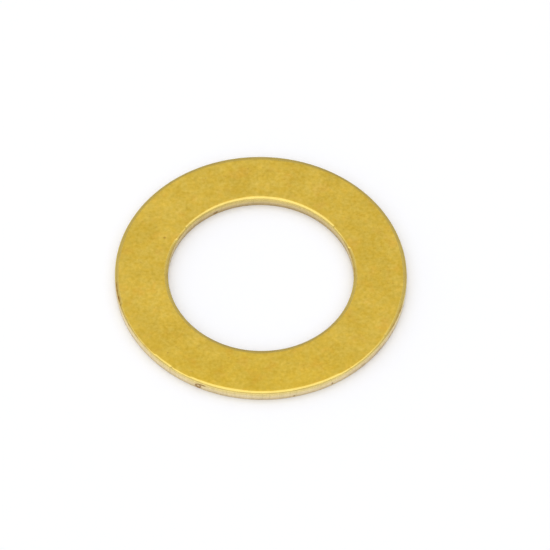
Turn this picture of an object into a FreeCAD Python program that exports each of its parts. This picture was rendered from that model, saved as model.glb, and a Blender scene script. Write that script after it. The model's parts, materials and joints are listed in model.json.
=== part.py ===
import FreeCAD, Part
import math
import os
import Sketcher

# Flat washer: one ring stamped from sheet brass. Its hole and its rim are cut from opposite sides of the
# sheet in one stroke, so both rolled edges are on the same face.
#
# Frame: millimetres, +Z up. The origin is the centre of the lower face, and +Z runs along the axis of the
# hole, towards the face with the rolled edges.
#
# Both cut edges have the same four bands, from the upper face down:
#   - the roll, where the sheet bent before it was cut: an arc that leaves the upper face smoothly
#   - the land, the band that the die rubbed upright and bright: it stands at the nominal radius
#   - the torn band, where the sheet broke through: it leans back from the land by the die clearance
#   - the corner with the lower face, worn round by tumbling

# alias, value in millimetres, what it measures
SIZES = [
    ("outer_diameter", 14.0, "across the rim"),
    ("hole_diameter", 8.9, "across the hole"),
    ("thickness", 0.5, "of the sheet"),
    ("roll_width", 0.22, "of the rolled edge, along the upper face"),
    ("roll_depth", 0.042, "of the rolled edge, down from the upper face"),
    ("land_depth", 0.19, "of the upright band under the rolled edge"),
    ("die_clearance", 0.012, "between punch and die: how far the torn band leans back"),
    ("corner_radius", 0.02, "of the worn corner with the lower face"),
]

# The node that the ring's shape is written under.
RING = "washer_ring"

# Which way a cut edge faces from the axis of the hole.
OUTWARD = 1
INWARD = -1

# A sketch's names for a piece of geometry's ends, and for its own origin and X axis.
START = 1
END = 2
SKETCH_ORIGIN = (-1, 1)
SKETCH_X_AXIS = -1

FULL_TURN = 360.0


def make_sheet(doc):
    """Put the driving sizes in a spreadsheet, each in a cell with an alias."""
    sheet = doc.addObject("Spreadsheet::Sheet", "Sizes")
    for row, (alias, value, meaning) in enumerate(SIZES, start=1):
        sheet.set(f"A{row}", alias)
        sheet.set(f"B{row}", str(value))
        sheet.set(f"C{row}", meaning)
        sheet.setAlias(f"B{row}", alias)
    doc.recompute()
    return sheet


def origin_plane(body, role):
    """Find one of a body's own origin planes by its role."""
    return next(plane for plane in body.Origin.OriginFeatures if plane.Role == role)


def flat_point(x, y):
    """A point in a sketch's plane."""
    return FreeCAD.Vector(x, y, 0)


def arc_facing(facing, centre, radius, first, last):
    """An arc between two angles, as it is at the rim, or mirrored for the hole."""
    if facing == INWARD:
        first, last = math.pi - last, math.pi - first
    circle = Part.Circle(centre, FreeCAD.Vector(0, 0, 1), radius)
    return Part.ArcOfCircle(circle, first, last)


def bind_size(sketch, name, expression, constraint):
    """Add a dimension to a sketch, under a name, and bind it to the sheet."""
    index = sketch.addConstraint(constraint)
    sketch.renameConstraint(index, name)
    sketch.setExpression(f"Constraints.{name}", expression)


def draw_edge(sketch, sheet, name, facing):
    """Draw the four bands of the rim or the hole, from the lower face up, and size them.

    In the sketch, X is the distance from the axis and Y is the height. Returns the ends that meet the lower
    face and the upper face, each as a piece of geometry and which end of it.
    """
    diameter = "outer_diameter" if facing == OUTWARD else "hole_diameter"
    nominal = getattr(sheet, diameter) / 2
    roll_foot = sheet.thickness - sheet.roll_depth
    land_foot = roll_foot - sheet.land_depth
    torn_foot_x = nominal - facing * sheet.die_clearance
    roll_radius = (sheet.roll_width ** 2 + sheet.roll_depth ** 2) / (2 * sheet.roll_depth)
    roll_centre = flat_point(nominal - facing * sheet.roll_width, sheet.thickness - roll_radius)
    roll_tilt = math.atan2(roll_radius - sheet.roll_depth, sheet.roll_width)
    corner_centre = flat_point(torn_foot_x - facing * sheet.corner_radius, sheet.corner_radius)

    corner = sketch.addGeometry(
        arc_facing(facing, corner_centre, sheet.corner_radius, -math.pi / 2, 0))
    torn = sketch.addGeometry(
        Part.LineSegment(flat_point(torn_foot_x, sheet.corner_radius), flat_point(nominal, land_foot)))
    land = sketch.addGeometry(
        Part.LineSegment(flat_point(nominal, land_foot), flat_point(nominal, roll_foot)))
    roll = sketch.addGeometry(
        arc_facing(facing, roll_centre, roll_radius, roll_tilt, math.pi / 2))

    # An arc always runs anticlockwise, so its lower end is its start at the rim and its end at the hole.
    low, high = (START, END) if facing == OUTWARD else (END, START)
    sketch.addConstraint([
        Sketcher.Constraint("Tangent", corner, high, torn, START),
        Sketcher.Constraint("Coincident", torn, END, land, START),
        Sketcher.Constraint("Vertical", land),
        Sketcher.Constraint("Coincident", land, END, roll, low),
    ])
    bind_size(sketch, f"{name}_radius", f"Sizes.{diameter} / 2",
              Sketcher.Constraint("DistanceX", *SKETCH_ORIGIN, land, START, nominal))
    bind_size(sketch, f"{name}_land_depth", "Sizes.land_depth",
              Sketcher.Constraint("DistanceY", land, START, land, END, sheet.land_depth))
    bind_size(sketch, f"{name}_roll_depth", "Sizes.roll_depth",
              Sketcher.Constraint("DistanceY", roll, low, roll, high, sheet.roll_depth))
    bind_size(sketch, f"{name}_corner_radius", "Sizes.corner_radius",
              Sketcher.Constraint("Radius", corner, sheet.corner_radius))

    # A sketch's distances are measured left to right, so at the hole their two ends trade places.
    torn_ends = (torn, START, torn, END) if facing == OUTWARD else (torn, END, torn, START)
    roll_ends = (roll, high, roll, low) if facing == OUTWARD else (roll, low, roll, high)
    bind_size(sketch, f"{name}_lean", "Sizes.die_clearance",
              Sketcher.Constraint("DistanceX", *torn_ends, sheet.die_clearance))
    bind_size(sketch, f"{name}_roll_width", "Sizes.roll_width",
              Sketcher.Constraint("DistanceX", *roll_ends, sheet.roll_width))
    return (corner, low), (roll, high)


def draw_section(sketch, sheet):
    """Draw the ring's closed section: its two cut edges, joined by the lower and the upper face."""
    rim_foot, rim_head = draw_edge(sketch, sheet, "rim", OUTWARD)
    hole_foot, hole_head = draw_edge(sketch, sheet, "hole", INWARD)

    inset = sheet.die_clearance + sheet.corner_radius
    hole_radius = sheet.hole_diameter / 2
    rim_radius = sheet.outer_diameter / 2
    lower_face = sketch.addGeometry(
        Part.LineSegment(flat_point(hole_radius + inset, 0), flat_point(rim_radius - inset, 0)))
    upper_face = sketch.addGeometry(
        Part.LineSegment(flat_point(hole_radius + sheet.roll_width, sheet.thickness),
                         flat_point(rim_radius - sheet.roll_width, sheet.thickness)))
    sketch.addConstraint([
        Sketcher.Constraint("Tangent", lower_face, START, *hole_foot),
        Sketcher.Constraint("Tangent", lower_face, END, *rim_foot),
        Sketcher.Constraint("Tangent", upper_face, START, *hole_head),
        Sketcher.Constraint("Tangent", upper_face, END, *rim_head),
        Sketcher.Constraint("Horizontal", lower_face),
        Sketcher.Constraint("Horizontal", upper_face),
        Sketcher.Constraint("PointOnObject", lower_face, START, SKETCH_X_AXIS),
    ])
    bind_size(sketch, "thickness", "Sizes.thickness",
              Sketcher.Constraint("DistanceY", *SKETCH_ORIGIN, upper_face, START, sheet.thickness))


def make_ring(doc, sheet):
    """Turn the section once round the axis of the hole."""
    body = doc.addObject("PartDesign::Body", "WasherRing")
    body.Label = RING
    body.Placement = FreeCAD.Placement()

    section = body.newObject("Sketcher::SketchObject", "RingSection")
    section.AttachmentSupport = [(origin_plane(body, "XZ_Plane"), "")]
    section.MapMode = "FlatFace"
    draw_section(section, sheet)
    doc.recompute()
    if section.solve() != 0 or not section.FullyConstrained:
        raise RuntimeError("the ring's section is not fully constrained")

    turn = body.newObject("PartDesign::Revolution", "RingTurn")
    turn.Profile = section
    turn.ReferenceAxis = (section, ["V_Axis"])
    turn.Angle = FULL_TURN
    body.Tip = turn
    return body


def check(doc, bodies):
    """Raise if an object of the document failed, or if a sub-part's shape is missing or broken."""
    for item in doc.Objects:
        if "Invalid" in item.State or "Error" in item.State:
            raise RuntimeError(f"{item.Label} failed: {item.State}")
    for body in bodies:
        if body.Shape.isNull() or not body.Shape.isValid():
            raise RuntimeError(f"{body.Label} has no valid shape")
        if len(body.Shape.Solids) != 1:
            raise RuntimeError(f"{body.Label} is {len(body.Shape.Solids)} solids, not one")


def main():
    doc = FreeCAD.newDocument("FlatWasher")
    sheet = make_sheet(doc)
    bodies = [make_ring(doc, sheet)]
    doc.recompute()
    check(doc, bodies)

    os.makedirs("parts", exist_ok=True)
    for body in bodies:
        body.Shape.exportStep(f"parts/{body.Label}.step")
        box = body.Shape.optimalBoundingBox()
        print(f"{body.Label}: {box.XLength:.3f} x {box.YLength:.3f} x {box.ZLength:.3f} mm, "
              f"{body.Shape.Volume:.3f} mm3")


main()
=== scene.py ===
"""Flat washer: the finished ring around its CAD model, the table that it lies on and the light over it.

Everything is in metres, in the CAD model's frame: +Z up along the axis of the hole, and the origin at the
centre of the lower face.
"""

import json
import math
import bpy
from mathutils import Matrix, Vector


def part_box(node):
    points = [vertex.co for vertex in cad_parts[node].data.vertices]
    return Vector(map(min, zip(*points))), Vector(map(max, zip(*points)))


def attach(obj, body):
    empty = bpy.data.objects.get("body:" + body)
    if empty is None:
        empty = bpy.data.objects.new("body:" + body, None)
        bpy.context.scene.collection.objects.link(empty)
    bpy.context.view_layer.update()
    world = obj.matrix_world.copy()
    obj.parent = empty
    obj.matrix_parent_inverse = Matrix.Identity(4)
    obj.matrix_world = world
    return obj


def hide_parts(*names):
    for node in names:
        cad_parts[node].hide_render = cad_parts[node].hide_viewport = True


bl_info = {
    "name": "Flat Washer",
    "version": (1, 0, 0),
    "blender": (4, 5, 0),
    "location": "View3D > Sidebar > Washer",
    "description": "Makes a stamped brass washer, with cut edges and a satin finish, and a studio for it",
    "category": "Add Mesh",
}

import bpy
from bpy.props import FloatProperty, FloatVectorProperty, IntProperty, PointerProperty
from mathutils import Matrix, Vector, noise

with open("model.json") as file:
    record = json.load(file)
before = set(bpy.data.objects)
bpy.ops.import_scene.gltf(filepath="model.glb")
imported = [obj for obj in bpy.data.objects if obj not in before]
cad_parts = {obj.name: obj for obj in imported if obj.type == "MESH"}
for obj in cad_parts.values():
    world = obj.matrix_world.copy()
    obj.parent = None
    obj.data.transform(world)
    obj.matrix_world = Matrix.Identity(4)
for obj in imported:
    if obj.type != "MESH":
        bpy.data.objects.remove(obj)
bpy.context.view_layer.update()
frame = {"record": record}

MM = 0.001
MICRON = 0.000001
FULL_TURN = 2 * math.pi
NODE = "washer_ring"
BODY = "root"

RING_LOW, RING_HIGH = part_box(NODE)
BORE = next(mount for mount in frame["record"]["mounts"] if mount["name"] == "bore")

# Which way a cut edge faces from the axis of the hole.
OUTWARD = 1
INWARD = -1

# The bands of the ring's section, from the inner end of the upper face round to it again. Each has the
# number of mesh steps across it, and its cut mark at its start and at its end: 0 on the faces of the sheet,
# and 1 on bared metal.
BANDS = (
    ("upper_face", 20, 0.0, 0.0),
    ("rim_roll", 11, 0.0, 1.0),
    ("rim_land", 5, 1.0, 1.0),
    ("rim_torn", 9, 1.0, 1.0),
    ("rim_corner", 3, 1.0, 0.3),
    ("lower_face", 14, 0.0, 0.0),
    ("hole_corner", 3, 0.3, 1.0),
    ("hole_torn", 9, 1.0, 1.0),
    ("hole_land", 5, 1.0, 1.0),
    ("hole_roll", 11, 1.0, 0.0),
)
STEPS = {name: steps for name, steps, _, _ in BANDS}
STATIONS = sum(STEPS.values())

# Where the torn mark rises from 0 to 1, as shares of the way down the land and down the torn band.
TORN_RISE_ON_LAND = (0.3, 1.4)
TORN_RISE_ON_TORN = (-0.5, 0.3)

# How the sizes of the cut edges wander round the ring. Each has its own level of the noise, a wavelength, a
# number of octaves, and a strength, as a multiple of the unevenness.
WANDERING = {
    "roll_width": (11 * MM, 2.2 * MM, 3, 1.0),
    "roll_depth": (23 * MM, 2.8 * MM, 3, 1.0),
    "land_depth": (37 * MM, 0.9 * MM, 5, 2.0),
    "torn_lean": (51 * MM, 1.4 * MM, 3, 2.0),
    "corner_radius": (67 * MM, 0.5 * MM, 3, 2.5),
}

# Fine unevenness of the surfaces: a level of the noise, a wavelength and a number of octaves.
LAND_STREAKS = (83 * MM, 0.22 * MM, 2)
FACE_WAVE = (5 * MM, 3.5 * MM, 2)
FACE_PEEL = (9 * MM, 0.6 * MM, 2)
PEEL_SHARE = 0.25
STREAK_DEPTH = 0.0015 * MM
TEAR_WAVELENGTH = 0.16 * MM
TEAR_OCTAVES = 4

# The first part of the land and of the torn band, as a share of each, over which their grain comes in.
STREAK_RISE = 0.3
TEAR_RISE = 0.25

# The section is laid out for baking in a square of strips, each one sector of the ring.
STRIPS_ACROSS = 3
STRIPS_UP = 3
STRIP_MARGIN = 0.006

# Dents in the cut edges: which edge, angle in degrees, height, half-width, half-height and depth.
DENTS = (
    (OUTWARD, 245.6, 0.18 * MM, 0.13 * MM, 0.12 * MM, 0.035 * MM),
    (OUTWARD, 247.6, 0.350 * MM, 0.20 * MM, 0.05 * MM, 0.016 * MM),
    (OUTWARD, 232.6, 0.30 * MM, 0.04 * MM, 0.20 * MM, 0.009 * MM),
    (OUTWARD, 300.3, 0.13 * MM, 0.04 * MM, 0.06 * MM, 0.022 * MM),
    (OUTWARD, 284.2, 0.08 * MM, 0.04 * MM, 0.05 * MM, 0.018 * MM),
    (OUTWARD, 309.4, 0.42 * MM, 0.05 * MM, 0.09 * MM, 0.008 * MM),
    (OUTWARD, 203.2, 0.47 * MM, 0.12 * MM, 0.03 * MM, 0.007 * MM),
    (INWARD, 120.2, 0.14 * MM, 0.10 * MM, 0.06 * MM, 0.035 * MM),
    (INWARD, 150.5, 0.46 * MM, 0.10 * MM, 0.03 * MM, 0.008 * MM),
    (OUTWARD, 61.0, 0.10 * MM, 0.08 * MM, 0.05 * MM, 0.020 * MM),
    (INWARD, 318.0, 0.15 * MM, 0.07 * MM, 0.05 * MM, 0.020 * MM),
)

# Stretches of the cut edges darkened with the stain colour. Some are real tarnish and some are painted
# shade: the dark lines along the rolls that turn away from the softbox, the darkened roll where the left
# rim's highlight fades, and darker stretches low on the walls, most of all in the hole. Columns: which edge,
# angle and half-angle in degrees, height, half-height and strength. The higher the power, the more sharply a
# stretch ends.
TARNISH_AND_SHADE_POWER = 6
TARNISH_AND_SHADE = (
    (OUTWARD, 197.0, 14.0, 0.474 * MM, 0.013 * MM, 0.80),
    (OUTWARD, 217.0, 7.0, 0.480 * MM, 0.020 * MM, 0.30),
    (OUTWARD, 339.5, 7.0, 0.472 * MM, 0.014 * MM, 0.75),
    (OUTWARD, 323.0, 14.0, 0.14 * MM, 0.15 * MM, 0.32),
    (INWARD, 149.5, 4.0, 0.474 * MM, 0.015 * MM, 0.75),
    (INWARD, 138.0, 10.0, 0.14 * MM, 0.12 * MM, 0.26),
    (INWARD, 16.0, 17.0, 0.472 * MM, 0.014 * MM, 0.55),
    (INWARD, 172.0, 14.0, 0.472 * MM, 0.014 * MM, 0.35),
    (INWARD, 270.0, 60.0, 0.472 * MM, 0.014 * MM, 0.15),
    (INWARD, 90.0, 75.0, 0.15 * MM, 0.08 * MM, 0.12),
)

# Stretches where the die left a narrower roll: which edge, first and last angle in degrees, and its share of
# the usual width. The change takes up NARROWING degrees before each end, and as many after it.
NARROWING = 0.6
NARROW_ROLLS = (
    (OUTWARD, 196.0, 224.2, 0.55),
    (OUTWARD, 233.2, 242.0, 0.68),
    (OUTWARD, 304.0, 330.0, 0.80),
    (INWARD, 22.0, 40.0, 0.60),
    (INWARD, 144.0, 154.0, 0.70),
)

# Pits in the upper face: angle in degrees, distance from the axis, radius and darkness. A pit is darkest up
# to the first share of its radius, and gone at the second.
PIT_EDGE = (0.3, 1.2)
PITS = (
    (156.0, 5.10 * MM, 0.070 * MM, 0.50),
    (193.0, 5.08 * MM, 0.045 * MM, 0.35),
    (227.0, 6.40 * MM, 0.050 * MM, 0.35),
    (241.0, 6.58 * MM, 0.045 * MM, 0.30),
    (116.0, 6.28 * MM, 0.045 * MM, 0.30),
    (173.0, 5.91 * MM, 0.040 * MM, 0.30),
    (147.0, 5.71 * MM, 0.040 * MM, 0.25),
    (85.0, 5.39 * MM, 0.040 * MM, 0.25),
    (357.0, 6.35 * MM, 0.045 * MM, 0.30),
    (38.0, 5.85 * MM, 0.035 * MM, 0.25),
    (291.0, 5.35 * MM, 0.035 * MM, 0.25),
)

# Small dark specks scattered over the faces: how far apart, the radius of the largest, what share of the
# places have one, the smallest as a share of the largest, how soft their edges are, and how dark they are.
SPECK_SPACING = 0.36 * MM
SPECK_SIZE = 0.06 * MM
SPECK_SHARE = 0.35
SPECK_SMALLEST = 0.35
SPECK_SOFTNESS = 0.5
SPECK_STRENGTH = 0.2

# The spans that most of a noise's values lie in.
NOISE_SPAN = (0.3, 0.7)
GRAIN_SPAN = (0.25, 0.75)

# The spans of the cut mark over which the roll's finish comes in, and then the bared metal's.
ROLLED_SPAN = (0.0, 0.45)
BARED_SPAN = (0.8, 1.0)

# Shade of the faces: the flecks' share of the grain's contrast, the slow drift either way, and the span of
# shades from the low flecks' colour to the high flecks'.
FLECK_SHARE = 0.5
DRIFT = 0.055
SHADE_SPAN = (0.7, 1.3)

# Tints that the colours are multiplied by, where the warmer patches are, and where the face's front, towards
# the camera, gets painted shade, yellower and a little darker.
REDDER_TINT = (1.012, 0.988, 0.87)
PALER_TINT = (0.988, 1.012, 1.13)
WARM_TINT = (1.03, 0.95, 0.98)
WARM_SPAN = (0.52, 0.70)
WARM_MOST = 0.8
FRONT_SHADE_TINT = (0.985, 0.975, 0.80)
FRONT_SHADE_SPAN = (-6.4 * MM, -3.4 * MM)
# Painted shade on the hole's cut edge: yellower and a little darker.
HOLE_SHADE_TINT = (0.98, 0.97, 0.84)

# Worn parts of the cut edges: the spans of the noises that darken them, and how much at most.
WORN_SHADE = 0.5
STREAK_SPAN = (0.35, 0.6)
STREAK_MOST = 0.34
HOLLOW_SPAN = (0.36, 0.62)
HOLLOW_MOST = 0.4
PATCH_SPAN = (0.4, 0.62)
PATCH_MOST = 0.2
ROLL_PATCH_SPAN = (0.4, 0.65)
ROLL_PATCH_MOST = 0.16

# Painted shade on the cut edges, darker towards the foot and in the hole: how high it reaches at the foot,
# and how it thins up the hole.
FOOT_SHADE_SPAN = (0.0, 0.26 * MM)
HOLE_SHADE_SPAN = (0.05 * MM, 0.36 * MM)
HOLE_SHADE_LOW = 1.2
HOLE_SHADE_HIGH = 0.8

# Oxide in the dents, which is rubbed off where they are deepest, and in the tarnish and painted shade of the
# edges, which is patchy.
DENT_STAIN_SPAN = (0.08, 0.35)
DENT_STAIN_MOST = 0.85
DENT_RUBBED_SPAN = (0.45, 0.85)
DENT_RUBBED_LEFT = 0.2
TARNISH_AND_SHADE_SPAN = (0.35, 0.65)
TARNISH_AND_SHADE_THIN = 0.35
TARNISH_AND_SHADE_THICK = 1.3

# Roughness: how far the grain takes the face's either way, and that of oxide.
SATIN_SMOOTHER = 0.04
SATIN_ROUGHER = 0.05
OXIDE_ROUGHNESS = 0.65

# Relief, in microns.
PIT_RELIEF = -8.0
STREAK_RELIEF = 2.5
RUBBLE_RELIEF = 6.0

# The table top: half its width, how far it lies below the washer, and its finish.
TABLE_HALF = 3.0
TABLE_DROP = 2.0 * MICRON
TABLE_ROUGHNESS = 0.85
TABLE_SHEEN = 0.2

# How the tent's brightness changes with direction: from its front to its back, up from its foot, and around
# the camera.
TENT_WALL_SPAN = (-0.7, 0.1)
TENT_FOOT_SPAN = (0.2, 0.82)
TENT_WINDOW_SPAN = (0.74, 0.97)
TENT_WINDOW_WAY = (0.0, -0.74, 0.67)
TENT_LEFT_POWER = 2.0

# The camera: the width of its sensor in millimetres, and the nearest that it draws, in metres.
SENSOR_WIDTH = 36.0
NEAREST_SEEN = 0.01


class WasherRingSizes(bpy.types.PropertyGroup):
    """Sizes of the ring and of the bands of its cut edges"""

    outer_radius: FloatProperty(
        name="Outer radius", description="From the axis to the land of the rim",
        default=RING_HIGH.x, unit="LENGTH", precision=6)
    hole_radius: FloatProperty(
        name="Hole radius", description="From the axis to the land of the hole",
        default=BORE["dims"]["r_mm"] * MM, unit="LENGTH", precision=6)
    thickness: FloatProperty(
        name="Thickness", description="Of the sheet",
        default=RING_HIGH.z - RING_LOW.z, unit="LENGTH", precision=6)
    roll_width: FloatProperty(
        name="Roll width", description="How far the rolled edge reaches along the upper face",
        default=0.22 * MM, unit="LENGTH", precision=6)
    roll_depth: FloatProperty(
        name="Roll depth", description="How far the rolled edge drops below the upper face",
        default=0.042 * MM, unit="LENGTH", precision=6)
    land_depth: FloatProperty(
        name="Land depth", description="Height of the bright upright band under the rolled edge",
        default=0.19 * MM, unit="LENGTH", precision=6)
    torn_lean: FloatProperty(
        name="Torn lean", description="How far the torn band leans back at its foot",
        default=0.012 * MM, unit="LENGTH", precision=6)
    corner_radius: FloatProperty(
        name="Corner radius", description="Of the worn corners with the lower face",
        default=0.02 * MM, unit="LENGTH", precision=6)
    unevenness: FloatProperty(
        name="Unevenness", description="How much the bands wander round the ring, as a share of each",
        default=0.14, min=0.0, max=0.5, subtype="FACTOR")
    draw: FloatProperty(
        name="Draw", description="How much narrower the roll is diagonal to the way the sheet was rolled",
        default=0.22, min=0.0, max=0.6, subtype="FACTOR")
    tear_relief: FloatProperty(
        name="Tear relief", description="Depth of the grain of the torn band",
        default=0.010 * MM, unit="LENGTH", precision=6)
    face_wave: FloatProperty(
        name="Face wave", description="How far the faces of the sheet are out of flat",
        default=0.003 * MM, unit="LENGTH", precision=6)
    segments: IntProperty(
        name="Segments", description="Mesh steps round the ring, a multiple of the strips it is laid out in",
        default=1080, min=90, max=1080)


class WasherFinish(bpy.types.PropertyGroup):
    """Colours, roughness and grain of the brass"""

    fleck_low: FloatVectorProperty(
        name="Low flecks", description="Darkest parts of the grain of the tumbled face",
        default=(0.362, 0.2315, 0.0115), subtype="COLOR", size=3, min=0.0, max=1.0)
    fleck_high: FloatVectorProperty(
        name="High flecks", description="Lightest parts of the grain of the tumbled face",
        default=(0.674, 0.477, 0.085), subtype="COLOR", size=3, min=0.0, max=1.0)
    roll_colour: FloatVectorProperty(
        name="Roll colour", description="Of the edge that the die drew down",
        default=(0.555, 0.417, 0.108), subtype="COLOR", size=3, min=0.0, max=1.0)
    land_colour: FloatVectorProperty(
        name="Land colour", description="Metal bared and burnished by the die",
        default=(0.87, 0.705, 0.285), subtype="COLOR", size=3, min=0.0, max=1.0)
    torn_colour: FloatVectorProperty(
        name="Torn colour", description="Metal bared where the sheet tore",
        default=(1.0, 0.865, 0.58), subtype="COLOR", size=3, min=0.0, max=1.0)
    # Also the colour of the tarnish and painted shade on the cut edges.
    stain_and_shade_colour: FloatVectorProperty(
        name="Stain colour", description="Oxide in the pits and dents",
        default=(0.32, 0.155, 0.034), subtype="COLOR", size=3, min=0.0, max=1.0)
    # The colour of the painted shade on the cut edges, towards the foot and in the hole.
    edge_shade_colour: FloatVectorProperty(
        name="Grime colour", description="Of the film on the cut edges",
        default=(0.18, 0.06, 0.01), subtype="COLOR", size=3, min=0.0, max=1.0)
    # Painted shade: how much darker the hole's cut edge is painted.
    hole_shade: FloatProperty(
        name="Hole shade", description="How much duller the hole's edge is than the rim's",
        default=0.20, min=0.0, max=1.0, subtype="FACTOR")
    # Painted shade: how much darker the cut edges are painted towards the foot.
    foot_shade: FloatProperty(
        name="Foot shade", description="How much duller the cut edges get towards the lower face",
        default=0.23, min=0.0, max=1.0, subtype="FACTOR")
    sheet_roughness: FloatProperty(
        name="Sheet roughness", description="Of the tumbled face",
        default=0.34, min=0.0, max=1.0, subtype="FACTOR")
    roll_roughness: FloatProperty(
        name="Roll roughness", description="Of the rolled edge",
        default=0.2, min=0.0, max=1.0, subtype="FACTOR")
    land_roughness: FloatProperty(
        name="Land roughness", description="Of the band that the die burnished",
        default=0.26, min=0.0, max=1.0, subtype="FACTOR")
    torn_roughness: FloatProperty(
        name="Torn roughness", description="Of the band that tore",
        default=0.5, min=0.0, max=1.0, subtype="FACTOR")
    grain_size: FloatProperty(
        name="Grain size", description="Of the fine mottle of the tumbled face",
        default=0.16 * MM, unit="LENGTH", precision=6)
    grain_relief: FloatProperty(
        name="Grain relief", description="Height of the fine mottle, in microns",
        default=3.0, min=0.0, max=20.0)
    grain_contrast: FloatProperty(
        name="Grain contrast", description="How much lighter and darker the fine mottle makes the face",
        default=0.107, min=0.0, max=0.5, subtype="FACTOR")


class WasherStudio(bpy.types.PropertyGroup):
    """The table, the camera, the softbox and the tent"""

    table_colour: FloatVectorProperty(
        name="Table colour", description="The pale surface under the washer",
        default=(0.965, 0.965, 0.972), subtype="COLOR", size=3, min=0.0, max=1.0)
    elevation: FloatProperty(
        name="Elevation", description="Of the camera above the table",
        default=math.radians(54.46), subtype="ANGLE")
    roll: FloatProperty(
        name="Roll", description="Of the camera about its own line of sight, anticlockwise",
        default=math.radians(1.17), subtype="ANGLE")
    distance: FloatProperty(
        name="Distance", description="From the camera to the washer, along its line of sight",
        default=0.7107, unit="LENGTH")
    view_width: FloatProperty(
        name="View width", description="What the picture takes in from side to side, at the washer",
        default=26.380 * MM, unit="LENGTH", precision=6)
    aim_right: FloatProperty(
        name="Aim right", description="How far the middle of the picture is to the right of the hole's axis",
        default=0.683 * MM, unit="LENGTH", precision=6)
    aim_up: FloatProperty(
        name="Aim up", description="How far the middle of the picture is above the foot of the hole's axis",
        default=0.269 * MM, unit="LENGTH", precision=6)
    softbox_height: FloatProperty(
        name="Softbox height", description="How high the softbox stands behind the washer, as an angle",
        default=math.radians(72.0), subtype="ANGLE")
    softbox_side: FloatProperty(
        name="Softbox side", description="How far round to the left of straight behind it stands",
        default=math.radians(4.0), subtype="ANGLE")
    softbox_reach: FloatProperty(
        name="Softbox reach", description="From the washer to the softbox", default=1.3, unit="LENGTH")
    softbox_width: FloatProperty(
        name="Softbox width", description="From side to side", default=0.86, unit="LENGTH")
    softbox_length: FloatProperty(
        name="Softbox length", description="From front to back", default=0.68, unit="LENGTH")
    softbox_glow: FloatProperty(
        name="Softbox glow", description="Brightness of its face", default=1.12, min=0.0)
    softbox_colour: FloatVectorProperty(
        name="Softbox colour", description="A little cooler than the tent",
        default=(0.76, 0.80, 1.0), subtype="COLOR", size=3, min=0.0, max=1.0)
    tent_front: FloatProperty(
        name="Tent front", description="Brightness of the tent on the camera's side", default=0.905, min=0.0)
    tent_back: FloatProperty(
        name="Tent back", description="Brightness of the tent behind the washer", default=0.99, min=0.0)
    tent_left: FloatProperty(
        name="Tent left", description="How much brighter the foot of the tent is on the left", default=0.45)
    tent_foot: FloatProperty(
        name="Tent foot", description="How much the foot of the tent is in shade", default=0.34)
    tent_window: FloatProperty(
        name="Tent window", description="How much brighter the tent is around the camera", default=0.47)


# ---------------------------------------------------------------------------------------------------------
# Shape of the ring


def smooth_step(value, low, high):
    """0 below low and 1 above high, with a smooth rise between them."""
    share = min(max((value - low) / (high - low), 0.0), 1.0)
    return share * share * (3.0 - 2.0 * share)


def wander(x, y, z, wavelength, octaves=3):
    """Smooth unevenness between about -1 and 1, at a place in space."""
    return noise.fractal(Vector((x, y, z)) / wavelength, 1.0, 2.0, octaves)


def roll_share(sizes, facing, angle):
    """How wide the roll is at an angle, as a share of its width: least diagonal to the sheet's rolling."""
    share = 1.0 - sizes.draw * math.sin(2.0 * angle) ** 2
    degrees = math.degrees(angle)
    for side, first, last, narrowed in NARROW_ROLLS:
        if side == facing:
            begun = smooth_step(degrees, first - NARROWING, first + NARROWING)
            ended = smooth_step(degrees, last - NARROWING, last + NARROWING)
            share *= 1.0 - (1.0 - narrowed) * (begun - ended)
    return share


def edge_points(sizes, facing, angle):
    """One cut edge's section at an angle, from the upper face down: a list of (radius, height)."""
    nominal = sizes.outer_radius if facing == OUTWARD else sizes.hole_radius
    band = "rim" if facing == OUTWARD else "hole"
    x = nominal * math.cos(angle)
    y = nominal * math.sin(angle)

    def uneven(name):
        """A size of the edge as it is at this angle."""
        level, wavelength, octaves, strength = WANDERING[name]
        wandered = wander(x, y, level, wavelength, octaves)
        return getattr(sizes, name) * (1.0 + strength * sizes.unevenness * wandered)

    narrowed = roll_share(sizes, facing, angle)
    roll_width = uneven("roll_width") * narrowed
    roll_depth = uneven("roll_depth") * narrowed
    land_depth = uneven("land_depth")
    lean = uneven("torn_lean")
    corner = uneven("corner_radius")
    streak = STREAK_DEPTH * wander(x, y, *LAND_STREAKS)

    top = sizes.thickness
    roll_radius = (roll_width ** 2 + roll_depth ** 2) / (2 * roll_depth)
    roll_turn = math.asin(min(roll_width / roll_radius, 1.0))
    land_foot = top - roll_depth - land_depth
    points = []

    for step in range(STEPS[band + "_roll"]):
        turn = roll_turn * step / STEPS[band + "_roll"]
        radius = nominal - facing * (roll_width - roll_radius * math.sin(turn))
        points.append((radius, top - roll_radius * (1.0 - math.cos(turn))))
    for step in range(STEPS[band + "_land"]):
        share = step / STEPS[band + "_land"]
        points.append((nominal - facing * abs(streak) * smooth_step(share, 0.0, STREAK_RISE),
                       top - roll_depth - land_depth * share))
    for step in range(STEPS[band + "_torn"]):
        share = step / STEPS[band + "_torn"]
        height = land_foot + (corner - land_foot) * share
        grain = abs(wander(x, y, height, TEAR_WAVELENGTH, TEAR_OCTAVES))
        grain = grain * sizes.tear_relief * smooth_step(share, 0.0, TEAR_RISE)
        points.append((nominal - facing * (lean * share + grain), height))
    for step in range(STEPS[band + "_corner"] + 1):
        turn = 0.5 * math.pi * step / STEPS[band + "_corner"]
        points.append((nominal - facing * (lean + corner * (1.0 - math.cos(turn))),
                       corner * (1.0 - math.sin(turn))))
    return points


def face_points(start, end, steps):
    """The stations across a face, from one edge's end up to, but not including, the other's."""
    return [(start[0] + (end[0] - start[0]) * step / steps, start[1] + (end[1] - start[1]) * step / steps)
            for step in range(steps)]


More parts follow.
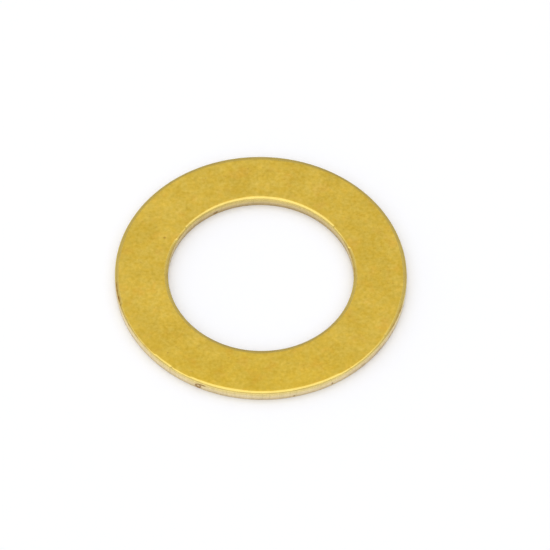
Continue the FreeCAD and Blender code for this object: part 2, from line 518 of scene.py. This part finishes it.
def ring_section(sizes, angle):
    """The ring's whole section at an angle, as one closed loop in the order of BANDS."""
    rim = edge_points(sizes, OUTWARD, angle)
    hole = edge_points(sizes, INWARD, angle)
    return (face_points(hole[0], rim[0], STEPS["upper_face"]) + rim[:-1]
            + face_points(rim[-1], hole[-1], STEPS["lower_face"]) + hole[:0:-1])


def section_normals(section):
    """The way out of the metal at each station, from its neighbours."""
    normals = []
    for index, _ in enumerate(section):
        before = section[index - 1]
        after = section[(index + 1) % len(section)]
        along = Vector((after[0] - before[0], after[1] - before[1])).normalized()
        normals.append(Vector((-along.y, along.x)))
    return normals


def dent_depth(radius, height, facing, angle):
    """How deep the dents of an edge are at a place on it."""
    depth = 0.0
    for side, degrees, level, half_width, half_height, deepest in DENTS:
        if side != facing:
            continue
        turn = (angle - math.radians(degrees) + math.pi) % FULL_TURN - math.pi
        across = turn * radius / half_width
        up = (height - level) / half_height
        depth += deepest * math.exp(-across * across - up * up)
    return depth


def tarnish_and_shade_strength(height, facing, angle):
    """How much tarnish and painted shade an edge has at a place on it."""
    strength = 0.0
    for side, degrees, half_degrees, level, half_height, most in TARNISH_AND_SHADE:
        if side != facing:
            continue
        turn = (math.degrees(angle) - degrees + 180.0) % 360.0 - 180.0
        up = (height - level) / half_height
        strength = max(strength, most * math.exp(-(turn / half_degrees) ** TARNISH_AND_SHADE_POWER - up * up))
    return strength


def band_of_stations():
    """For each station, its band, and how far it is across that band."""
    return [(name, step / steps) for name, steps, _, _ in BANDS for step in range(steps)]


def ring_mesh(sizes):
    """The ring's mesh, with the attributes that its material reads and its layout for baking."""
    stations = band_of_stations()
    vertices = []
    dents = []
    tarnish_and_shade = []
    for segment in range(sizes.segments):
        angle = FULL_TURN * segment / sizes.segments
        section = ring_section(sizes, angle)
        normals = section_normals(section)
        for (band, _), (radius, height), normal in zip(stations, section, normals):
            x = radius * math.cos(angle)
            y = radius * math.sin(angle)
            facing = {"rim": OUTWARD, "hole": INWARD}.get(band.split("_")[0], 0)
            dent = dent_depth(radius, height, facing, angle)
            # Tarnish and painted shade on the cut edges, stored for the material.
            tarnish_and_shade.append(tarnish_and_shade_strength(height, facing, angle))
            radius -= normal.x * dent
            height -= normal.y * dent
            wave = sizes.face_wave * wander(x, y, *FACE_WAVE)
            peel = PEEL_SHARE * sizes.face_wave * wander(x, y, *FACE_PEEL)
            height += (wave + peel) * height / sizes.thickness
            vertices.append((radius * math.cos(angle), radius * math.sin(angle), max(height, 0.0)))
            dents.append(dent)

    faces = []
    for segment in range(sizes.segments):
        here = segment * STATIONS
        there = (segment + 1) % sizes.segments * STATIONS
        for station in range(STATIONS):
            after = (station + 1) % STATIONS
            faces.append((here + station, here + after, there + after, there + station))

    mesh = bpy.data.meshes.new("stamped_ring")
    mesh.from_pydata(vertices, [], faces)
    mesh.validate()
    mesh.shade_smooth()
    mark_bands(mesh, stations, sizes.segments)
    deepest = max(row[-1] for row in DENTS)
    store_mark(mesh, "dent", [depth / deepest for depth in dents])
    store_mark(mesh, "tarnish_and_shade", tarnish_and_shade)
    lay_out(mesh, sizes)
    return mesh


def store_mark(mesh, name, values):
    """Store a number on each vertex, for the material to read."""
    layer = mesh.attributes.new(name, "FLOAT", "POINT")
    layer.data.foreach_set("value", values)


def mark_bands(mesh, stations, segments):
    """Store on each vertex how far it is cut and torn, and whether it is on the land and in the hole."""
    cut_ends = {name: (start, end) for name, _, start, end in BANDS}
    marks = {"cut": [], "land": [], "torn": [], "hole": []}
    for band, share in stations:
        start, end = cut_ends[band]
        down = share if band.startswith("rim") else 1.0 - share
        torn = {
            "land": smooth_step(down, *TORN_RISE_ON_LAND),
            "torn": smooth_step(down, *TORN_RISE_ON_TORN),
            "corner": 1.0,
        }
        marks["cut"].append(start + (end - start) * share)
        marks["land"].append(1.0 if band.endswith("land") else 0.0)
        marks["torn"].append(torn.get(band.split("_")[1], 0.0))
        marks["hole"].append(1.0 if band.startswith("hole") else 0.0)
    for name, values in marks.items():
        store_mark(mesh, name, values * segments)


def lay_out(mesh, sizes):
    """Give the mesh a layout for baking: the ring as strips, each the whole section over one sector."""
    section = ring_section(sizes, 0.0)
    lengths = [0.0]
    for index in range(STATIONS):
        here = Vector(section[index])
        after = Vector(section[(index + 1) % STATIONS])
        lengths.append(lengths[-1] + (after - here).length)
    per_strip = sizes.segments // (STRIPS_ACROSS * STRIPS_UP)
    width = 1.0 / STRIPS_ACROSS
    rise = 1.0 / STRIPS_UP

    def place(strip, turn, along):
        """A place in the layout, from the turn across a strip and the way along the section, 0 to 1."""
        column = strip % STRIPS_ACROSS
        row = strip // STRIPS_ACROSS
        return (column * width + STRIP_MARGIN / 2 + turn * (width - STRIP_MARGIN),
                row * rise + STRIP_MARGIN / 2 + along * (rise - STRIP_MARGIN))

    layout = mesh.uv_layers.new(name="OFBake")
    flat = []
    for segment in range(sizes.segments):
        strip, within = divmod(segment, per_strip)
        left = within / per_strip
        right = (within + 1) / per_strip
        for station in range(STATIONS):
            low = lengths[station] / lengths[-1]
            high = lengths[station + 1] / lengths[-1]
            for turn, along in ((left, low), (left, high), (right, high), (right, low)):
                flat.extend(place(strip, turn, along))
    layout.uv.foreach_set("vector", flat)


# ---------------------------------------------------------------------------------------------------------
# Finish


def add_node(tree, kind, inputs=(), **settings):
    """Add a node with its settings, and fill its inputs with plain values or with other nodes' outputs."""
    node = tree.nodes.new(kind)
    for name, value in settings.items():
        setattr(node, name, value)
    for key, value in dict(inputs).items():
        if isinstance(value, bpy.types.NodeSocket):
            tree.links.new(value, node.inputs[key])
        else:
            node.inputs[key].default_value = value
    return node


def maths(tree, operation, first, second=0.0, third=0.0):
    """The result of a sum on numbers or other nodes' outputs."""
    values = {0: first, 1: second, 2: third}
    return add_node(tree, "ShaderNodeMath", values, operation=operation).outputs[0]


def blend_numbers(tree, factor, first, second):
    """A number between two, by a factor."""
    values = {0: factor, 2: first, 3: second}
    return add_node(tree, "ShaderNodeMix", values, data_type="FLOAT").outputs[0]


def blend_colours(tree, factor, first, second, blend_type="MIX"):
    """A colour between two, by a factor."""
    values = {0: factor, 6: first, 7: second}
    return add_node(tree, "ShaderNodeMix", values, data_type="RGBA", blend_type=blend_type).outputs[2]


def mark(tree, name):
    """A mark that the ring's mesh carries on its vertices."""
    return add_node(tree, "ShaderNodeAttribute", attribute_name=name).outputs["Fac"]


def mottle(tree, place, wavelength, detail=3.0, rough=0.55, stretch=None, shift=0.0):
    """Noise of a wavelength, around 0.5, drawn out along an axis by stretch, and moved up by shift."""
    if shift:
        moved = {0: place, 1: (0.0, 0.0, shift)}
        place = add_node(tree, "ShaderNodeVectorMath", moved, operation="ADD").outputs[0]
    if stretch:
        stretched = {0: place, 1: stretch}
        place = add_node(tree, "ShaderNodeVectorMath", stretched, operation="MULTIPLY").outputs[0]
    values = {"Vector": place, "Scale": 1.0 / wavelength, "Detail": detail, "Roughness": rough}
    return add_node(tree, "ShaderNodeTexNoise", values, noise_dimensions="3D").outputs["Fac"]


def rescale(tree, value, span, low=0.0, high=1.0, smooth=False):
    """A value carried from a span of its own to the span from low to high, and held within it."""
    values = {"Value": value, "From Min": span[0], "From Max": span[1], "To Min": low, "To Max": high}
    kind = "SMOOTHSTEP" if smooth else "LINEAR"
    return add_node(tree, "ShaderNodeMapRange", values, interpolation_type=kind).outputs["Result"]


def specks(tree, place):
    """Small round specks scattered over a face, of uneven sizes: 1 inside them and 0 outside."""
    values = {"Vector": place, "Scale": 1.0 / SPECK_SPACING, "Randomness": 1.0}
    cells = add_node(tree, "ShaderNodeTexVoronoi", values, voronoi_dimensions="2D")
    lot = add_node(tree, "ShaderNodeSeparateColor", {"Color": cells.outputs["Color"]}).outputs[0]
    largest = SPECK_SIZE / SPECK_SPACING
    chosen = rescale(tree, lot, (1.0 - SPECK_SHARE, 1.0), SPECK_SMALLEST, 1.0)
    reach = maths(tree, "MULTIPLY", chosen, largest)
    drawn = maths(tree, "GREATER_THAN", lot, 1.0 - SPECK_SHARE)
    edge = maths(tree, "SUBTRACT", reach, cells.outputs["Distance"])
    soft = rescale(tree, edge, (0.0, SPECK_SOFTNESS * SPECK_SIZE / SPECK_SPACING), smooth=True)
    return maths(tree, "MULTIPLY", soft, drawn)


def placed_pits(tree, place, level):
    """The pits of PITS in the face at a level: how dark they are, and 0 outside them."""
    darkness = 0.0
    for degrees, radius, size, most in PITS:
        turn = math.radians(degrees)
        middle = (radius * math.cos(turn), radius * math.sin(turn), level)
        values = {0: place, 1: middle}
        away = add_node(tree, "ShaderNodeVectorMath", values, operation="DISTANCE").outputs["Value"]
        edge = (PIT_EDGE[0] * size, PIT_EDGE[1] * size)
        pit = rescale(tree, away, edge, most, 0.0, smooth=True)
        darkness = maths(tree, "MAXIMUM", darkness, pit)
    return darkness


def opaque(colour):
    """A colour as a socket takes it."""
    return (*colour, 1.0)


def tinted(colour, factor):
    """A colour made lighter or darker."""
    return tuple(min(channel * factor, 1.0) for channel in colour)


def tint_colour(tree, factor, colour, tint):
    """A colour multiplied by a tint, by a factor."""
    whole = blend_colours(tree, 1.0, colour, opaque(tint), blend_type="MULTIPLY")
    return blend_colours(tree, factor, colour, whole)


def ring_marks(tree):
    """The marks on the ring's mesh, with how much of the finish is the roll's and the bared metal's."""
    marks = {name: mark(tree, name) for name in ("cut", "land", "torn", "hole", "dent", "tarnish_and_shade")}
    marks["rolled"] = rescale(tree, marks["cut"], ROLLED_SPAN, smooth=True)
    marks["bared"] = rescale(tree, marks["cut"], BARED_SPAN, smooth=True)
    return marks


def brass_noises(tree, place, finish):
    """The noises that the colour, the roughness and the relief are made from."""
    grain_size = finish.grain_size
    return {
        "grain": mottle(tree, place, grain_size, rough=0.6),
        "fleck": mottle(tree, place, 1.3 * grain_size, detail=2.0, rough=0.5, shift=3.0 * MM),
        "tint": mottle(tree, place, 2.2 * grain_size, detail=2.0, rough=0.6, shift=7.0 * MM),
        "cloud": mottle(tree, place, 1.1 * MM, rough=0.5),
        "warmth": mottle(tree, place, 0.8 * MM, shift=2.0 * MM),
        "streaks": mottle(tree, place, 0.12 * MM, detail=4.0, rough=0.7, stretch=(1.0, 1.0, 0.06)),
        "rubble": mottle(tree, place, 0.07 * MM, detail=4.0, rough=0.65),
        "blotch": mottle(tree, place, 0.30 * MM, rough=0.6, shift=11.0 * MM),
    }


def face_colour(tree, finish, noises, forward):
    """Colour of the faces: flecks and grain, a slow drift of shade, warmer patches, and painted shade
    towards the front.
    """
    grain = finish.grain_contrast
    flecks = FLECK_SHARE * finish.grain_contrast
    grained = rescale(tree, noises["grain"], GRAIN_SPAN, 1.0 - grain, 1.0 + grain)
    flecked = rescale(tree, noises["fleck"], NOISE_SPAN, 1.0 - flecks, 1.0 + flecks)
    drifting = rescale(tree, noises["cloud"], NOISE_SPAN, 1.0 - DRIFT, 1.0 + DRIFT, smooth=True)
    shade = maths(tree, "MULTIPLY", maths(tree, "MULTIPLY", grained, flecked), drifting)
    level = rescale(tree, shade, SHADE_SPAN)
    colour = blend_colours(tree, level, opaque(finish.fleck_low), opaque(finish.fleck_high))
    paler = rescale(tree, noises["tint"], NOISE_SPAN, smooth=True)
    tint = blend_colours(tree, paler, opaque(REDDER_TINT), opaque(PALER_TINT))
    colour = blend_colours(tree, 1.0, colour, tint, blend_type="MULTIPLY")
    warm = rescale(tree, noises["warmth"], WARM_SPAN, 0.0, WARM_MOST, smooth=True)
    colour = tint_colour(tree, warm, colour, WARM_TINT)
    # Painted shade: the front of the face, towards the camera, is made yellower and a little darker.
    front_shade = rescale(tree, forward, FRONT_SHADE_SPAN, 1.0, 0.0, smooth=True)
    return tint_colour(tree, front_shade, colour, FRONT_SHADE_TINT)


def roll_colour(tree, finish, noises):
    """Colour of the roll: the drawn-down metal, with worn patches."""
    patch = rescale(tree, noises["blotch"], ROLL_PATCH_SPAN, 0.0, ROLL_PATCH_MOST)
    worn = tinted(finish.roll_colour, WORN_SHADE)
    return blend_colours(tree, patch, opaque(finish.roll_colour), opaque(worn))


def bared_colour(tree, finish, noises, marks):
    """Colour of the bared metal: paler down the edge, with streaks, patches and hollows in the tear, and
    painted shade in the hole.
    """
    colour = blend_colours(tree, marks["torn"], opaque(finish.land_colour), opaque(finish.torn_colour))
    streak = rescale(tree, noises["streaks"], STREAK_SPAN, STREAK_MOST, 0.0)
    hollow = rescale(tree, noises["rubble"], HOLLOW_SPAN, HOLLOW_MOST, 0.0)
    hollow = maths(tree, "MULTIPLY", hollow, marks["torn"])
    patch = rescale(tree, noises["blotch"], PATCH_SPAN, 0.0, PATCH_MOST)
    worn = maths(tree, "MAXIMUM", maths(tree, "MAXIMUM", streak, patch), hollow)
    colour = blend_colours(tree, worn, colour, opaque(tinted(finish.land_colour, WORN_SHADE)))
    # Painted shade: the hole's cut edge is tinted yellower and darker.
    return tint_colour(tree, marks["hole"], colour, HOLE_SHADE_TINT)


def edge_shade_strength(tree, finish, marks, above):
    """How much painted shade the bared metal gets: more towards the foot, and in the hole."""
    foot = rescale(tree, above, FOOT_SHADE_SPAN, finish.foot_shade, 0.0, smooth=True)
    low = HOLE_SHADE_LOW * finish.hole_shade
    high = HOLE_SHADE_HIGH * finish.hole_shade
    in_hole = rescale(tree, above, HOLE_SHADE_SPAN, low, high)
    edge_shade = maths(tree, "MULTIPLY_ADD", marks["hole"], in_hole, foot)
    return maths(tree, "MULTIPLY", edge_shade, marks["bared"])


def oxide_and_shade_strength(tree, noises, marks, spots, on_face):
    """How much stain there is: oxide in the pits and specks of the faces and in the dents, and the tarnish
    and painted shade of the edges.
    """
    pits, dots = spots
    pitted = maths(tree, "MULTIPLY", pits, on_face)
    dotted = maths(tree, "MULTIPLY", maths(tree, "MULTIPLY", dots, SPECK_STRENGTH), on_face)
    dirty = rescale(tree, marks["dent"], DENT_STAIN_SPAN, 0.0, DENT_STAIN_MOST, smooth=True)
    rubbed = rescale(tree, marks["dent"], DENT_RUBBED_SPAN, 1.0, DENT_RUBBED_LEFT, smooth=True)
    dirty = maths(tree, "MULTIPLY", dirty, rubbed)
    patchy = rescale(tree, noises["blotch"], TARNISH_AND_SHADE_SPAN, TARNISH_AND_SHADE_THIN, TARNISH_AND_SHADE_THICK)
    tarnished_and_shaded = maths(tree, "MULTIPLY", patchy, marks["tarnish_and_shade"])
    in_face = maths(tree, "MAXIMUM", pitted, dotted)
    in_edges = maths(tree, "MAXIMUM", dirty, tarnished_and_shaded)
    return maths(tree, "MAXIMUM", in_face, in_edges)


def brass_roughness(tree, finish, noises, marks, oxide_and_shade):
    """Satin faces, a smoother roll, a burnished land, a rough tear, and dull oxide, tarnish and painted
    shade.
    """
    smoothest = finish.sheet_roughness - SATIN_SMOOTHER
    roughest = finish.sheet_roughness + SATIN_ROUGHER
    rough = rescale(tree, noises["grain"], NOISE_SPAN, smoothest, roughest)
    rough = blend_numbers(tree, marks["rolled"], rough, finish.roll_roughness)
    rough = blend_numbers(tree, marks["bared"], rough, finish.land_roughness)
    rough = blend_numbers(tree, marks["torn"], rough, finish.torn_roughness)
    return blend_numbers(tree, oxide_and_shade, rough, OXIDE_ROUGHNESS)


def brass_relief(tree, finish, noises, marks, pits, on_face):
    """Grain and pits in the faces, streaks down the land, and rubble in the tear."""
    height = maths(tree, "MULTIPLY", noises["grain"], finish.grain_relief)
    height = maths(tree, "MULTIPLY_ADD", pits, PIT_RELIEF, height)
    height = maths(tree, "MULTIPLY", height, on_face)
    streaks = maths(tree, "MULTIPLY", noises["streaks"], STREAK_RELIEF)
    height = maths(tree, "MULTIPLY_ADD", streaks, marks["land"], height)
    rubble = maths(tree, "MULTIPLY", noises["rubble"], RUBBLE_RELIEF)
    height = maths(tree, "MULTIPLY_ADD", rubble, marks["torn"], height)
    bump = {"Strength": 1.0, "Distance": MICRON, "Height": height}
    return add_node(tree, "ShaderNodeBump", bump).outputs["Normal"]


def satin_brass(finish, thickness):
    """Sheet brass as it comes from the press and the tumbler: satin faces, and brighter, paler cut edges."""
    material = bpy.data.materials.new("satin_sheet_brass")
    material.use_nodes = True
    tree = material.node_tree
    tree.nodes.clear()
    place = add_node(tree, "ShaderNodeTexCoord").outputs["Object"]
    where = add_node(tree, "ShaderNodeSeparateXYZ", {0: place}).outputs
    marks = ring_marks(tree)
    noises = brass_noises(tree, place, finish)
    pits = placed_pits(tree, place, thickness)
    dots = specks(tree, place)
    on_face = maths(tree, "SUBTRACT", 1.0, marks["rolled"])

    colour = face_colour(tree, finish, noises, where["Y"])
    colour = blend_colours(tree, marks["rolled"], colour, roll_colour(tree, finish, noises))
    colour = blend_colours(tree, marks["bared"], colour, bared_colour(tree, finish, noises, marks))
    # Painted shade on the cut edges, darker towards the foot and in the hole.
    edge_shade = edge_shade_strength(tree, finish, marks, where["Z"])
    colour = blend_colours(tree, edge_shade, colour, opaque(finish.edge_shade_colour))
    # Oxide, tarnish and painted shade in the stain colour.
    oxide_and_shade = oxide_and_shade_strength(tree, noises, marks, (pits, dots), on_face)
    colour = blend_colours(tree, oxide_and_shade, colour, opaque(finish.stain_and_shade_colour))

    shader = add_node(tree, "ShaderNodeBsdfPrincipled", {
        "Base Color": colour,
        "Metallic": 1.0,
        "Roughness": brass_roughness(tree, finish, noises, marks, oxide_and_shade),
        "Normal": brass_relief(tree, finish, noises, marks, pits, on_face),
    })
    add_node(tree, "ShaderNodeOutputMaterial", {"Surface": shader.outputs[0]})
    return material


# ---------------------------------------------------------------------------------------------------------
# Studio


def table_finish(studio):
    """Plain matt white table top."""
    material = bpy.data.materials.new("matt_white_table")
    material.use_nodes = True
    tree = material.node_tree
    tree.nodes.clear()
    shader = add_node(tree, "ShaderNodeBsdfPrincipled", {
        "Base Color": opaque(studio.table_colour),
        "Roughness": TABLE_ROUGHNESS,
        "Specular IOR Level": TABLE_SHEEN,
    })
    add_node(tree, "ShaderNodeOutputMaterial", {"Surface": shader.outputs[0]})
    return material


def lay_table(studio):
    """A wide flat table top under the washer."""
    sides = ((-1, -1), (1, -1), (1, 1), (-1, 1))
    corners = [(x * TABLE_HALF, y * TABLE_HALF, -TABLE_DROP) for x, y in sides]
    mesh = bpy.data.meshes.new("table_top")
    mesh.from_pydata(corners, [], [(0, 1, 2, 3)])
    mesh.materials.append(table_finish(studio))
    table = bpy.data.objects.new("table_top", mesh)
    bpy.context.scene.collection.objects.link(table)


def hang_softbox(studio):
    """A round softbox high over the back of the washer, a little to the left."""
    light = bpy.data.lights.new("softbox", "AREA")
    light.shape = "ELLIPSE"
    light.size = studio.softbox_width
    light.size_y = studio.softbox_length
    area = math.pi * studio.softbox_width * studio.softbox_length / 4
    light.energy = studio.softbox_glow * math.pi * area / studio.softbox_colour[0]
    light.color = studio.softbox_colour
    level = math.cos(studio.softbox_height)
    towards = Vector((-level * math.sin(studio.softbox_side), level * math.cos(studio.softbox_side),
                      math.sin(studio.softbox_height)))
    lamp = bpy.data.objects.new("softbox", light)
    lamp.location = towards * studio.softbox_reach
    lamp.rotation_mode = "QUATERNION"
    lamp.rotation_quaternion = towards.to_track_quat("Z", "Y")
    bpy.context.scene.collection.objects.link(lamp)


def pitch_tent(studio):
    """The white tent round the table: brightest around the camera, and shaded at its foot."""
    world = bpy.data.worlds.new("light_tent")
    world.use_nodes = True
    tree = world.node_tree
    tree.nodes.clear()
    direction = add_node(tree, "ShaderNodeTexCoord").outputs["Generated"]
    way = add_node(tree, "ShaderNodeSeparateXYZ", {0: direction})
    wall = rescale(tree, way.outputs["Y"], TENT_WALL_SPAN, studio.tent_front, studio.tent_back, smooth=True)
    down = maths(tree, "POWER", maths(tree, "SUBTRACT", 1.0, way.outputs["Z"]), TENT_LEFT_POWER)
    leftward = maths(tree, "MULTIPLY", maths(tree, "MULTIPLY", way.outputs["X"], -studio.tent_left), down)
    light = maths(tree, "ADD", wall, leftward)
    low = rescale(tree, way.outputs["Z"], TENT_FOOT_SPAN, studio.tent_foot, 0.0, smooth=True)
    light = maths(tree, "SUBTRACT", light, low)
    camera = {0: direction, 1: TENT_WINDOW_WAY}
    towards = add_node(tree, "ShaderNodeVectorMath", camera, operation="DOT_PRODUCT").outputs["Value"]
    window = rescale(tree, towards, TENT_WINDOW_SPAN, 0.0, studio.tent_window, smooth=True)
    light = maths(tree, "ADD", light, window)
    background = add_node(tree, "ShaderNodeBackground", {"Color": (1.0, 1.0, 1.0, 1.0), "Strength": light})
    add_node(tree, "ShaderNodeOutputWorld", {"Surface": background.outputs[0]})
    bpy.context.scene.world = world


def stand_camera(studio):
    """The camera, looking down on the washer from the front, from so far that it is hardly distorted."""
    ahead = Vector((0.0, math.cos(studio.elevation), -math.sin(studio.elevation)))
    level = Vector((1.0, 0.0, 0.0))
    upright = Vector((0.0, math.sin(studio.elevation), math.cos(studio.elevation)))
    right = math.cos(studio.roll) * level + math.sin(studio.roll) * upright
    up = math.cos(studio.roll) * upright - math.sin(studio.roll) * level

    lens = bpy.data.cameras.new("studio_camera")
    lens.sensor_width = SENSOR_WIDTH
    lens.lens = lens.sensor_width * studio.distance / studio.view_width
    lens.clip_start = NEAREST_SEEN
    camera = bpy.data.objects.new("studio_camera", lens)
    axes = Matrix((right, up, -ahead)).transposed()
    place = studio.aim_right * right + studio.aim_up * up - studio.distance * ahead
    camera.matrix_world = Matrix.Translation(place) @ axes.to_4x4()
    bpy.context.scene.collection.objects.link(camera)
    bpy.context.scene.camera = camera


# ---------------------------------------------------------------------------------------------------------
# Operators and panel


class WASHER_OT_make_ring(bpy.types.Operator):
    """Make the stamped ring, with its rolled, burnished and torn edges, and give it its satin finish"""

    bl_idname = "washer.make_ring"
    bl_label = "Make the Ring"

    def execute(self, context):
        sizes = context.scene.washer_sizes
        if sizes.segments % (STRIPS_ACROSS * STRIPS_UP):
            raise ValueError("the segments have to be a multiple of the strips that the ring is laid out in")
        mesh = ring_mesh(sizes)
        mesh.materials.append(satin_brass(context.scene.washer_finish, sizes.thickness))
        ring = bpy.data.objects.new("stamped_brass_ring", mesh)
        context.scene.collection.objects.link(ring)
        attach(ring, BODY)
        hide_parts(NODE)
        return {"FINISHED"}


class WASHER_OT_set_studio(bpy.types.Operator):
    """Lay the table, hang the softbox, pitch the tent and stand the camera"""

    bl_idname = "washer.set_studio"
    bl_label = "Set the Studio"

    def execute(self, context):
        studio = context.scene.washer_studio
        lay_table(studio)
        hang_softbox(studio)
        pitch_tent(studio)
        stand_camera(studio)
        context.scene.view_settings.view_transform = "Standard"
        return {"FINISHED"}


class WASHER_PT_panel(bpy.types.Panel):
    """The washer's pieces, and the sizes and colours that they are made with"""

    bl_idname = "WASHER_PT_panel"
    bl_label = "Flat Washer"
    bl_space_type = "VIEW_3D"
    bl_region_type = "UI"
    bl_category = "Washer"

    def draw(self, context):
        scene = context.scene
        for operator, settings in (
            (WASHER_OT_make_ring, (scene.washer_sizes, scene.washer_finish)),
            (WASHER_OT_set_studio, (scene.washer_studio,)),
        ):
            box = self.layout.box()
            for group in settings:
                for name in group.__annotations__:
                    box.prop(group, name)
            box.operator(operator.bl_idname)


CLASSES = (
    WasherRingSizes,
    WasherFinish,
    WasherStudio,
    WASHER_OT_make_ring,
    WASHER_OT_set_studio,
    WASHER_PT_panel,
)


def register():
    for cls in CLASSES:
        bpy.utils.register_class(cls)
    bpy.types.Scene.washer_sizes = PointerProperty(type=WasherRingSizes)
    bpy.types.Scene.washer_finish = PointerProperty(type=WasherFinish)
    bpy.types.Scene.washer_studio = PointerProperty(type=WasherStudio)


def unregister():
    del bpy.types.Scene.washer_studio
    del bpy.types.Scene.washer_finish
    del bpy.types.Scene.washer_sizes
    for cls in reversed(CLASSES):
        bpy.utils.unregister_class(cls)


def main():
    register()
    bpy.ops.washer.make_ring()
    bpy.ops.washer.set_studio()


if __name__ == "__main__":
    main()
